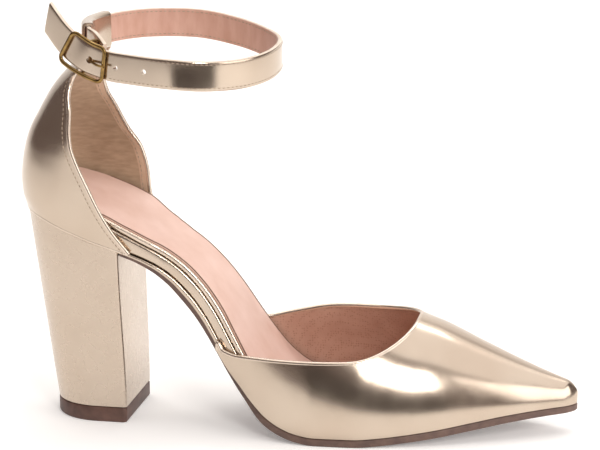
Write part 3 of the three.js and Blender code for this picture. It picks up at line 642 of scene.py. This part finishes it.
def layer(low, high, to, radius, inset=0.0):
    """A layer between two heights over the last's underside, with rounded edges. The seat's
    padding, which is thicker on the inner side, lifts all that lies over the board."""
    seat_end = SEAT_ROUND - SEAT_BACK
    x = np.concatenate([mix(-SEAT_BACK, seat_end, np.linspace(0, 1, 30)[:-1] ** 2),
                        np.linspace(seat_end, to, 150)])[:, None]
    slope = last_slope(x)
    lean = np.stack([-slope, np.ones_like(slope)]) / np.hypot(1, slope)
    into, level = [a[None] for a in side_profile(low, high, radius)]
    fade = 1 - smooth((x + SEAT_BACK) / (2 * SEAT_BACK))
    ease = GAP * round_end(x + SEAT_BACK, SEAT_ROUND) * (1 - smooth(x / SEAT_BACK - 1))
    halves = []
    for side in (-1, 1):
        column = "lateral" if side < 0 else "medial"
        pad = SEAT_PAD * follow(PAD, column, (x + SEAT_BACK) / LAST_LENGTH)
        height = level + pad * np.minimum(level / BOARD_HIGH, 1)
        up_there = np.clip(height / (TAB_TOP - last_line(x)), 0, 1)
        behind = (follow(CUP, "back", up_there) - 1) * SEAT_BACK * fade
        px = x + height * lean[0] * smooth((x + SEAT_BACK) / SEAT_BACK) - behind
        pz = last_line(x) + height * lean[1]
        cup_half = outline(side, x) * (1 + (follow(CUP, "width", up_there) - 1) * fade)
        half = np.where(x > SEAT_BACK, last_half(side, px, pz), cup_half)
        half = np.maximum(half - into - ease - inset, 0.05)
        halves.append(np.stack([px, read("swing", px) * TOE_SWING + side * half, pz], -1))
    return np.concatenate([halves[0], halves[1][:, ::-1]], 1)


rings = layer(GAP, BOARD_HIGH, TIP - 6.4, 1.0)
make("board_cover", rings, loft(rings), [foil_leather], "insole_board")
rings = layer(5.3, 7.7, TIP - 11.4, 0.9)
make("sock_rand", rings, loft(rings), [foil_edge], "sock")
rings = layer(7.6, 8.4, TIP - 12.4, 0.35, 1.3)
make("sock_lining", rings, loft(rings), [pale_pink], "sock")
for name, column in (("sock_line_outer", 10), ("sock_line_inner", 13)):
    path = rings[:, column][30:]
    cord = tube(path, 0.28, np.array([0.0, 0, 1]), 6)
    make(name, cord, loft(cord), [dark_line], "sock")

# %% [markdown]
# ## Heel
# A plastic block in a foiled cover: round at the back, flat in front, a little wider at the foot
# in front than at its waist. Under it sits the top piece, which is all that touches the floor.

# %% Heel
HEEL_BREAST, LIFT_LENGTH, LIFT_WIDTH, LIFT_THICK, CORNER = 15, 34, 42, 6.5, 1.5


def heel_ring(back, front, half, height):
    """Half a ring: round from the back, straight along the side, and a small round corner in
    front. The other half mirrors it. back, front and half hold one number for each ring."""
    back, front, half = [np.atleast_1d(v)[:, None] for v in (back, front, half)]
    t = np.linspace(0, 1, 40)[None]
    side_x = mix(back, front - CORNER, t * t * (2 - t))
    side_y = half * round_end(side_x - back, half)
    a = np.linspace(0, np.pi / 2, 7)[None, 1:]
    x = np.concatenate([side_x, front - CORNER + CORNER * np.sin(a)], 1)
    y = np.concatenate([side_y, half - CORNER * (1 - np.cos(a))], 1)
    z = height(x)
    return np.stack([np.concatenate([x, x[:, ::-1]], 1), np.concatenate([-y, y[:, ::-1]], 1),
                     np.concatenate([z, z[:, ::-1]], 1)], -1)


t = np.linspace(0, 1, 40)
rings = heel_ring(mix(-LIFT_LENGTH / 2, -SEAT_BACK - SKIN + 0.6, t),
                  mix(LIFT_LENGTH / 2, HEEL_BREAST, smooth(t)),
                  mix(LIFT_WIDTH / 2, SEAT_WIDTH / 2 + SKIN - 0.4, t ** 1.3),
                  lambda x: mix(LIFT_THICK + GAP, last_line(x) - wall_gap(x), t[:, None]))
make("heel_block", rings, loft(rings), [foil_heel], "heel", sharp=50)

corner = np.array([0, 0.35, 0.7, 1, 1, 0.7, 0.35, 0])
level = np.array([0, 0.15, 0.35, 0.7, LIFT_THICK - 0.5, LIFT_THICK - 0.25, LIFT_THICK - 0.1,
                  LIFT_THICK])
slim = 0.5 * (1 - corner)
rings = heel_ring(-LIFT_LENGTH / 2 + slim, LIFT_LENGTH / 2 - slim, LIFT_WIDTH / 2 - slim,
                  lambda x: level[:, None] + 0 * x)
make("top_piece", rings, loft(rings), [top_rubber], "heel_lift")

# %% [markdown]
# ## Strap
# The strap is a flat strip swept along a smooth space curve. A centripetal curve through the
# route's points has no loops between close points. Along it the strip stands upright, so its
# outward direction is level.

# %% The strap's route
LOOP_LENGTH, LOOP_WIDTH, STRAP_HEIGHT = 79.6, 74, 162
STRAP_WIDTH, STRAP_THICK = 12.2, 2
LOOP_CENTRE = -1.6 + LOOP_LENGTH / 2


def through(points, steps=60):
    """Centripetal curve: between two points a cubic, whose slopes come from the square roots of
    the distances to the points before and after."""
    p = np.concatenate([[2 * points[0] - points[1]], points, [2 * points[-1] - points[-2]]])
    d = np.sqrt(np.linalg.norm(np.diff(p, axis=0), axis=1))[:, None]
    a, b, c, e = p[:-3], p[1:-2], p[2:-1], p[3:]
    d0, d1, d2 = d[:-2], d[1:-1], d[2:]
    start = ((b - a) / d0 - (c - a) / (d0 + d1) + (c - b) / d1) * d1
    stop = ((c - b) / d1 - (e - b) / (d1 + d2) + (e - c) / d2) * d1
    t = np.linspace(0, 1, steps, endpoint=False)[None, :, None]
    b, c, start, stop = [v[:, None] for v in (b, c, start, stop)]
    curve = (b + start * t + (3 * (c - b) - 2 * start - stop) * t ** 2
             + (2 * (b - c) + start + stop) * t ** 3)
    return np.concatenate([curve.reshape(-1, 3), points[-1:]])


turn = np.radians(ROUTE["turn"])
route = through(np.stack([LOOP_CENTRE - LOOP_LENGTH / 2 * ROUTE["reach"] * np.cos(turn),
                          -LOOP_WIDTH / 2 * ROUTE["reach"] * np.sin(turn),
                          STRAP_HEIGHT + ROUTE["rise"] * STRAP_WIDTH], 1))
route_at = np.concatenate([[0], np.cumsum(np.linalg.norm(np.diff(route, axis=0), axis=1))])
STRAP_LENGTH = route_at[-1]
angles = np.arctan2(-route[:, 1] / LOOP_WIDTH, -(route[:, 0] - LOOP_CENTRE) / LOOP_LENGTH)
angles = np.unwrap(angles)
angles = np.degrees(angles - angles[0]) + ROUTE["turn"][0]


def strap_frame(distance):
    """The strap's middle and its directions along, out and up, at distances from the tail."""
    def at(d):
        d = np.clip(d, 0, STRAP_LENGTH)
        return np.stack([np.interp(d, route_at, route[:, k]) for k in range(3)], -1)
    along = unit(at(distance + 0.6) - at(distance - 0.6))
    out = unit(np.stack([along[..., 1], -along[..., 0], 0 * along[..., 0]], -1))
    rise = unit(np.cross(along, out))
    return at(distance), along, out, rise * np.where(rise[..., 2:] < 0, -1, 1)


def beside(distance, across, out):
    """Middle of the strap + across its width + out from it."""
    middle, _, outward, rise = strap_frame(np.asarray(distance, float))
    return middle + rise * np.asarray(across)[..., None] + outward * np.asarray(out)[..., None]


def at_turn(degrees):
    """Distance from the tail's end to a turn round the loop, counted from the back."""
    return float(np.interp(degrees, angles, route_at))


BUCKLE = at_turn(40.7)
print(f"strap {STRAP_LENGTH:.0f} mm long, its buckle {BUCKLE:.1f} mm from the tail's end")

# %% [markdown]
# The strip's profile is a flat rectangle with rounded corners. Its faces get three finishes: foil
# outside, pink lining inside and light paint on the cut edges. The tail is cut aslant, and the
# holes are punched with a boolean cut, so light shows through them.

# %% The strap


def strip_profile(half, thick, corner, dome=0.0):
    """Round a flat strip: (across, out), with the outer face raised by dome in its middle."""
    bend = np.radians(np.linspace(0, 90, 5))
    arcs = [np.stack([sx * (half - corner) + corner * np.cos(bend + start),
                      sy * (thick - corner) + corner * np.sin(bend + start)], 1)
            for sx, sy, start in ((1, 1, 0), (-1, 1, np.pi / 2), (-1, -1, np.pi), (1, -1, 1.5 * np.pi))]
    flat = np.linspace(half - corner, corner - half, 11)[1:-1, None]
    ring = np.concatenate([arcs[0], np.hstack([flat, thick + 0 * flat]), arcs[1], arcs[2],
                           np.hstack([-flat, -thick + 0 * flat]), arcs[3]])
    ring[:, 1] += dome * (1 - (ring[:, 0] / half) ** 2) * (ring[:, 1] > 0)
    return ring


def swell(distance):
    """How far the tail is pushed out where it runs over the buckle's bar."""
    return 0.55 * np.exp(-((distance - BUCKLE) / 4.5) ** 2)


TAIL_SLANT = 0.45         # how far the end is cut aslant, as a share of the width
ring = strip_profile(STRAP_WIDTH / 2, STRAP_THICK / 2, 0.7, 0.15)
d = np.linspace(0, STRAP_LENGTH, 420)[:, None]
lower = (1 - ring[None, :, 0] / (STRAP_WIDTH / 2)) / 2
slant = TAIL_SLANT * STRAP_WIDTH * lower * np.clip(1 - d / 12, 0, 1)
rings = beside(d + slant, ring[None, :, 0] + 0 * d, ring[None, :, 1] + swell(d))
middle = (ring[:, 1] + np.roll(ring[:, 1], -1)) / 2
column_finish = np.where(middle > 0.75, 0, np.where(middle < -0.75, 1, 2))
which = np.concatenate([np.tile(column_finish, len(d) - 1), [2, 2]])
strap = make("ankle_strap_strip", rings, loft(rings), [foil_leather, strap_pink, edge_paint],
             "ankle_strap", which)


def punch(piece, holes):
    """Cuts round holes, given as (distance along the strap, radius), with one boolean."""
    points, faces = [], []
    for distance, radius in holes:
        axis = beside(np.full(2, distance), np.zeros(2), np.array([-4.0, 4.0]))
        rim = tube(axis, radius, np.array([0.0, 0, 1]), 24)
        faces += [[i + len(points) * 48 for i in face] for face in loft(rim)]
        points.append(rim)
    mesh = bpy.data.meshes.new("punch")
    mesh.from_pydata((np.concatenate(points).reshape(-1, 3) / 1000).tolist(), [], faces)
    work = bmesh.new()
    work.from_mesh(mesh)
    bmesh.ops.recalc_face_normals(work, faces=work.faces)
    work.to_mesh(mesh)
    work.free()
    tool = bpy.data.objects.new("punch", mesh)
    bpy.context.scene.collection.objects.link(tool)
    cut = piece.modifiers.new("punch", "BOOLEAN")
    cut.object, cut.operation, cut.solver = tool, "DIFFERENCE", "EXACT"
    bpy.context.view_layer.update()
    done = bpy.data.meshes.new_from_object(piece.evaluated_get(bpy.context.evaluated_depsgraph_get()))
    piece.modifiers.clear()
    piece.data = done
    bpy.data.objects.remove(tool)
    print("punched strap:", len(done.polygons), "faces")


FIRST_HOLE, HOLE_PITCH = BUCKLE + 2.25, 12.9
punch(strap, [(FIRST_HOLE + HOLE_PITCH * k, radius) for k, radius in enumerate((1.5, 1.1, 1.1))])

# %% [markdown]
# ## Stitches
# A stitch is a short thread pulled down at both ends: a small capsule, thickest in the middle.
# The rows here have about 13 stitches to the inch, a pitch of 1.95 mm, as on fine shoes.

# %% Stitches


def stitch_row(name, path, toward, node, pitch=1.95, length=1.35, radius=0.2):
    """One capsule for each pitch along a path: centre + t · length along it, and a circle of
    radius · sqrt(1 - t²) round it, pressed flat against the leather."""
    path, toward = even(path, pitch, toward)
    along = unit(np.gradient(path, axis=0))
    side = unit(np.cross(along, toward))
    rise = np.cross(side, along)
    t = np.linspace(-1, 1, 7)[None, :, None, None]
    a = np.linspace(0, 2 * np.pi, 6, endpoint=False)[None, None, :, None]
    swell_out = np.sqrt(np.clip(1 - t ** 2, 0.02, 1)) * radius
    grid = (path[:, None, None] + t * along[:, None, None] * length / 2
            + swell_out * (np.cos(a) * side[:, None, None] + np.sin(a) * rise[:, None, None]))
    one = np.array(loft(grid[0])[:-2])
    faces = (one[None] + np.arange(len(path))[:, None, None] * 42).reshape(-1, 4).tolist()
    for k in range(len(path)):
        faces += [list(range(k * 42, k * 42 + 6)), list(range(k * 42 + 41, k * 42 + 35, -1))]
    make(name, grid, faces, [thread], node, sharp=180)


row = np.linspace(BUCKLE + 13, STRAP_LENGTH - 26, 500)
for name, side in (("upper", 1), ("lower", -1)):
    across_row = np.full(len(row), side * (STRAP_WIDTH / 2 - 1.3))
    for face, out in (("outside", 1.06), ("inside", -1.0)):
        toward = strap_frame(row)[2]
        line = beside(row, across_row, np.full(len(row), out))
        stitch_row(f"strap_stitches_{name}_{face}", line, toward, "ankle_strap")


def along_edge(skin, other, distance, near):
    """The line on a skin of the heel cup at a distance from its front edge."""
    grid, away = (skin, other) if near else (skin[:, ::-1], other[:, ::-1])
    steps = np.linalg.norm(np.diff(grid, axis=1), axis=2)
    length = np.concatenate([np.zeros((len(grid), 1)), np.cumsum(steps, 1)], 1)
    column = np.argmax(length > distance, axis=1)
    i = np.arange(len(grid))
    t = ((distance - length[i, column - 1]) / (length[i, column] - length[i, column - 1]))[:, None]
    line = mix(grid[i, column - 1], grid[i, column], t)
    return line, unit(line - mix(away[i, column - 1], away[i, column], t))


for name, near_side in (("outer", True), ("inner", False)):
    for face, walls, distance in (("outside", cup_skins, 2.5), ("inside", cup_skins[::-1], 2.6)):
        line, toward = along_edge(*walls, distance, near_side)
        stitch_row(f"counter_stitches_{name}_{face}", line + 0.05 * toward, toward, "counter")

# %% [markdown]
# ## Sleeve and buckle
# At the back the tab's leather is folded round the strap. The buckle is a wire frame whose bar
# drops from the rails and runs under the tail: the tail goes under the end bar in front, over the
# bar, and under the end bar behind, which keeps it down. The prong's eye turns on the bar.

# %% Sleeve
d = np.linspace(at_turn(337), at_turn(383), 40)[:, None]
sleeve_skins = []
for grow in (GAP + 1.2, GAP):
    ring = strip_profile(STRAP_WIDTH / 2 + grow, STRAP_THICK / 2 + grow, 0.7 + grow * 0.6, 0.2)
    ring = np.concatenate([ring, ring[:1]])
    sleeve_skins.append(beside(d + 0 * ring[:, 0], ring[:, 0] + 0 * d, ring[:, 1] + 0 * d))
points, faces, which = sheet(*sleeve_skins, foot=False, top=False)
make("strap_sleeve_fold", points, faces, [foil_leather, strap_pink, foil_edge], "strap_sleeve",
     which)

# %% Buckle
FRAME_LENGTH, WIRE, BAR_WIRE, PRONG_WIRE, FRAME_CORNER = 19.6, 0.85, 0.75, 0.6, 2.4
BAR_BEND = 1              # radius of the bar's bends beside the strap
END_BAR_OUT = STRAP_THICK / 2 + GAP + 0.8
EYE_REACH = 0.7 + GAP + 0.6      # outside of the prong's eye, from the middle of the bar
BAR_IN = STRAP_THICK / 2 + 2 * GAP + EYE_REACH
FRAME_HALF = STRAP_WIDTH / 2 + GAP + 0.8


a, b = FRAME_LENGTH / 2 - FRAME_CORNER, FRAME_HALF - FRAME_CORNER
bend = np.radians(np.linspace(0, 90, 10))
flat_path = []
for sx, sy, start in ((1, 1, 0), (-1, 1, 1), (-1, -1, 2), (1, -1, 3)):
    flat_path.append(np.stack([sx * a + FRAME_CORNER * np.cos(bend + start * np.pi / 2),
                               sy * b + FRAME_CORNER * np.sin(bend + start * np.pi / 2)], 1))
    if start in (0, 2):
        rail = np.linspace(1, -1, 40)[1:-1, None] * sx * a
        flat_path.append(np.hstack([rail, sy * FRAME_HALF + 0 * rail]))
flat_path = np.concatenate(flat_path)
path = beside(BUCKLE + flat_path[:, 0], flat_path[:, 1], np.full(len(flat_path), END_BAR_OUT))
out_there = strap_frame(BUCKLE + flat_path[:, 0])[2]
rings = tube(path, WIRE, out_there, 14, closed=True, flat=0.9)
make("buckle_frame_wire", rings, loft(rings, closed=True), [antique], "buckle_frame")

a = np.linspace(0, np.pi / 2, 8)
leg = np.stack([FRAME_HALF - BAR_BEND + BAR_BEND * np.cos(a),
                BAR_BEND - BAR_IN - BAR_BEND * np.sin(a)], 1)
half_bar = np.concatenate([[[FRAME_HALF, END_BAR_OUT], [FRAME_HALF, 0.0]], leg, [[2.0, -BAR_IN]]])
bar = np.concatenate([half_bar * [-1, 1], half_bar[::-1]])
bar = beside(np.full(len(bar), BUCKLE), bar[:, 0], bar[:, 1])
rings = tube(bar, BAR_WIRE, strap_frame(np.full(len(bar), BUCKLE))[1], 12)
make("buckle_bar", rings, loft(rings), [antique], "buckle_frame")

# %% The strap's end, folded round the bar on both sides of the prong
radius = np.array([0.9, 1.15, 1.3, 1.3, 1.15, 0.9])
for name, side in (("upper", 1), ("lower", -1)):
    across_fold = side * np.array([1.0, 1.05, 1.3, 5.2, 5.5, 5.6])
    path = beside(np.full(6, BUCKLE), across_fold, np.full(6, -BAR_IN))
    rings = tube(path, radius, strap_frame(np.full(6, BUCKLE))[1], 20)
    make(f"strap_bar_fold_{name}", rings, loft(rings), [foil_edge], "ankle_strap")

# %% Prong
rise_there = strap_frame(np.array(BUCKLE))[3]
rest = END_BAR_OUT + 0.8 + GAP + 0.55     # height at which the prong lies on the front end bar
shape = np.array([[0.09, -0.64], [0.15, -0.32], [0.26, 0.32], [0.4, 0.61], [0.8, 0.975], [1, 1],
                  [1.14, 0.975]]) * [FRAME_LENGTH / 2, rest]
shape = through(np.hstack([shape, 0 * shape[:, :1]]), 8)[:, :2]
path = beside(BUCKLE + shape[:, 0], 0 * shape[:, 0], shape[:, 1])
taper = PRONG_WIRE * mix(1.05, 0.8, np.linspace(0, 1, len(path)))
rings = tube(path, taper, rise_there, 12)
make("buckle_prong_shank", rings, loft(rings), [antique], "buckle_prong")
a = np.linspace(0, 2 * np.pi, 28, endpoint=False)
eye = EYE_REACH - 0.3
path = beside(BUCKLE + eye * np.cos(a), 0 * a, -BAR_IN + eye * np.sin(a))
rings = tube(path, 0.38, rise_there, 10, closed=True)
make("buckle_prong_eye", rings, loft(rings, closed=True), [antique], "buckle_prong")

# %% [markdown]
# ## Studio
# Polished foil shows the room more than itself. A white floor that sweeps up behind gives the
# pale background, the dark room on the camera's side gives the brown reflections, and soft boxes
# above, in front and on the toe's side give the highlights. A strip of dark felt in front, which
# only reflections see, draws the brown patch low on the forepart.

# %% Floor, lights and camera
paper, tree, shader, where = finish_of("paper_sweep", Roughness=0.9)
shader.inputs["Base Color"].default_value = linear("#f6f5f3")
shader.inputs["Emission Color"].default_value = linear("#ffffff")
shader.inputs["Emission Strength"].default_value = 0.22
turn = np.linspace(0, np.pi / 2, 24)
bend = np.stack([1.6 + 0.9 * np.sin(turn), 0.9 - 0.9 * np.cos(turn)], 1)
profile = np.concatenate([[[-2.2, 0]], bend, [[2.5, 3.2]]])
sweep = np.concatenate([np.insert(profile, 0, x, axis=1) for x in (-3.5, 3.5)])
mesh = bpy.data.meshes.new("floor")
mesh.from_pydata(sweep.tolist(), [], cells(np.arange(len(sweep)).reshape(2, -1)).tolist())
mesh.materials.append(paper)
mesh.polygons.foreach_set("use_smooth", np.ones(len(mesh.polygons), bool))
floor = bpy.data.objects.new("floor", mesh)
bpy.context.scene.collection.objects.link(floor)

world = bpy.data.worlds.new("dark_room")
world.use_nodes = True
world.node_tree.nodes["Background"].inputs["Color"].default_value = linear("#5e5350")
world.node_tree.nodes["Background"].inputs["Strength"].default_value = 1.5
bpy.context.scene.world = world


def aim(thing, place, target):
    """Stands a light or camera at a place, looking at a target."""
    thing.location = place
    away = np.array(place, float) - np.array(target, float)
    level = math.hypot(away[0], away[1])
    thing.rotation_euler = (math.atan2(level, away[2]), 0, math.atan2(away[0], -away[1]))


def soft_box(name, place, size, power, target=(0.08, 0, 0.06), tint="#fffdfb"):
    lamp = bpy.data.lights.new(name, "AREA")
    lamp.shape, lamp.size, lamp.size_y = "RECTANGLE", *size
    lamp.energy, lamp.color = power, linear(tint)[:3]
    box = bpy.data.objects.new(name, lamp)
    bpy.context.scene.collection.objects.link(box)
    aim(box, place, target)


soft_box("key", (0.73, -1.19, 0.8), (0.3, 0.4), 7, (0.14, -0.03, 0.04))
soft_box("top", (0.35, 0.1, 1.45), (2.6, 2.2), 22, (0.35, 0.1001, 0))
soft_box("toe_side", (1.5, -0.5, 0.6), (1.2, 0.9), 9)
soft_box("back_wall", (0.0, 1.0, 2.2), (2.4, 0.8), 26, (0.0, 2.3, 0.6))

felt, tree, shader, where = finish_of("dark_felt", Roughness=0.95)
shader.inputs["Base Color"].default_value = linear("#2e2522")
mesh = bpy.data.meshes.new("dark_flag")
mesh.from_pydata([(x, -0.38, z) for z in (0.001, 0.12) for x in (0.02, 0.42)], [], [(0, 1, 3, 2)])
mesh.materials.append(felt)
flag = bpy.data.objects.new("dark_flag", mesh)
flag.visible_camera = flag.visible_shadow = flag.visible_diffuse = False
bpy.context.scene.collection.objects.link(flag)

camera = bpy.data.objects.new("camera", bpy.data.cameras.new("camera"))
camera.data.lens, camera.data.sensor_width = 173.5, 36
bpy.context.scene.collection.objects.link(camera)
aim(camera, (0.3093, -1.1435, 0.3721), (0.087, 0, 0.0838))
bpy.context.scene.camera = camera
bpy.context.scene.view_settings.view_transform = "Standard"
